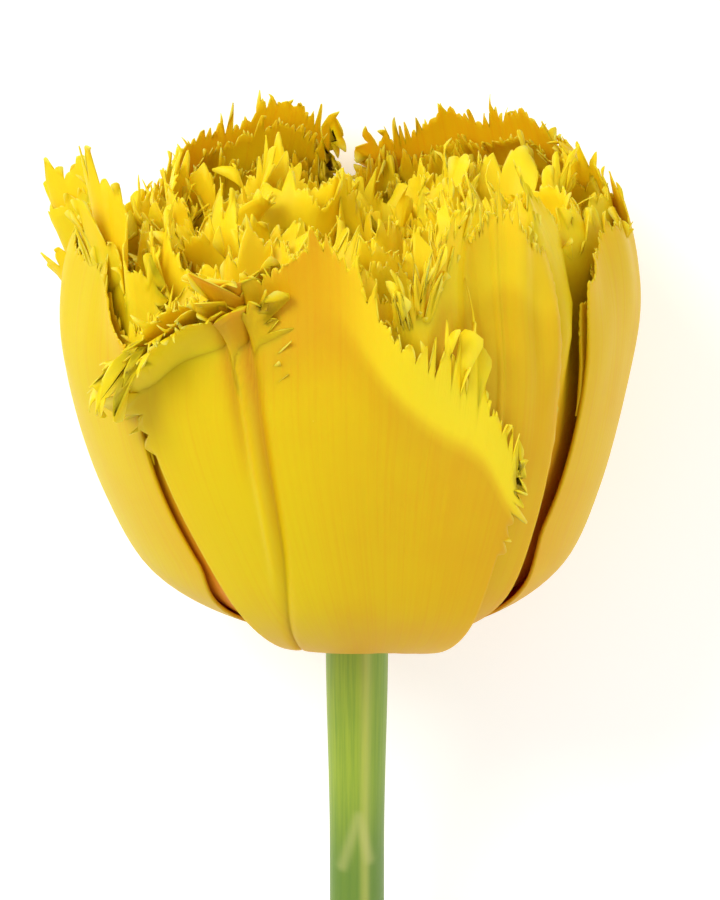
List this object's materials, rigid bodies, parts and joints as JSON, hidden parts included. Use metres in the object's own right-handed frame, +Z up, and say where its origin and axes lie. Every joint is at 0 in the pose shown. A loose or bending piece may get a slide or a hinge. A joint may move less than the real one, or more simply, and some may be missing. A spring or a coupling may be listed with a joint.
{
  "type": "double fringed tulip",
  "caption": "Cut double tulip lying down: a cup of overlapping fringed petals in rows round a pistil and stamens, on a short leafless stalk.",
  "frame": {"origin": "on the surface that the flower lies on, under the middle of its bounding box", "axes": "+Z up from the surface, +Y from the stalk's cut end towards the bloom's opening, +X to the right when the front petal is seen from above"},
  "size_m": [0.0738, 0.1924, 0.0768],
  "materials": {
    "petal": "satin, softly translucent, with fine lengthwise veins",
    "stalk": "smooth, waxy",
    "pistil": "smooth, waxy",
    "stamen": "powdery"
  },
  "bodies": {
    "root": {"outer_petal_front": "petal", "outer_petal_under_left": "petal", "outer_petal_under_right": "petal", "pistil": "pistil", "row_3_petal_1": "petal", "row_3_petal_2": "petal", "row_3_petal_3": "petal", "row_3_petal_4": "petal", "row_3_petal_5": "petal", "row_3_petal_6": "petal", "row_4_petal_1": "petal", "row_4_petal_2": "petal", "row_4_petal_3": "petal", "row_4_petal_4": "petal", "row_4_petal_5": "petal", "row_5_petal_1": "petal", "row_5_petal_2": "petal", "row_5_petal_3": "petal", "row_5_petal_4": "petal", "row_5_petal_5": "petal", "row_6_petal_1": "petal", "row_6_petal_2": "petal", "row_6_petal_3": "petal", "row_6_petal_4": "petal", "row_7_petal_1": "petal", "row_7_petal_2": "petal", "row_7_petal_3": "petal", "second_petal_front_left": "petal", "second_petal_front_right": "petal", "second_petal_left": "petal", "second_petal_right": "petal", "second_petal_under": "petal", "stalk": "stalk", "stamen_1": "stamen", "stamen_2": "stamen", "stamen_3": "stamen", "stamen_4": "stamen", "stamen_5": "stamen", "stamen_6": "stamen"}
  },
  "joints": []
}
